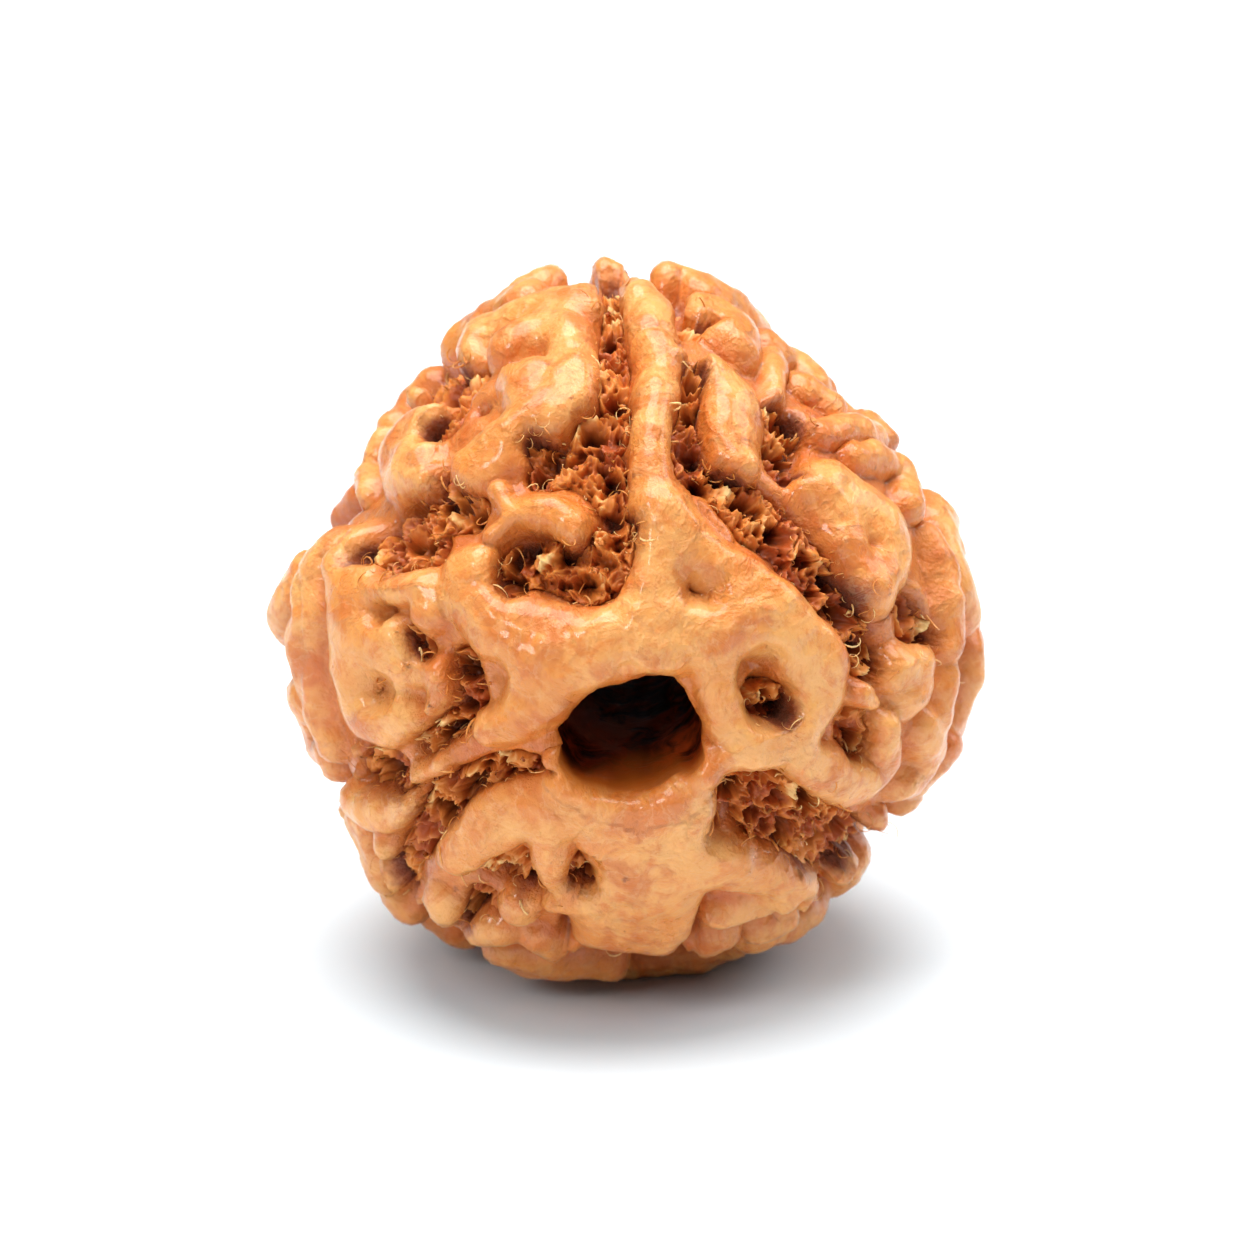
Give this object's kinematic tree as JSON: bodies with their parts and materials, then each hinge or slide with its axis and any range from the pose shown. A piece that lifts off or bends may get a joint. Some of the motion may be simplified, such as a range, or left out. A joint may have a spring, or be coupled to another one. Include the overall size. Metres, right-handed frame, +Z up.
{
  "type": "rudraksha bead",
  "caption": "Natural seed bead: a round, deeply ridged stone with three seams that run from mouth to mouth of a natural bore, lying on its side on a small flat spot.",
  "frame": {"origin": "centre of the footprint, on the surface the bead rests on", "axes": "+Z up, -Y towards the bore's front mouth, +X to the right seen from there"},
  "size_m": [0.0224, 0.0224, 0.0222],
  "materials": {
    "stone": "waxy, polished crests and dark fibrous hollows"
  },
  "bodies": {
    "root": {"bead": "stone"}
  },
  "joints": []
}
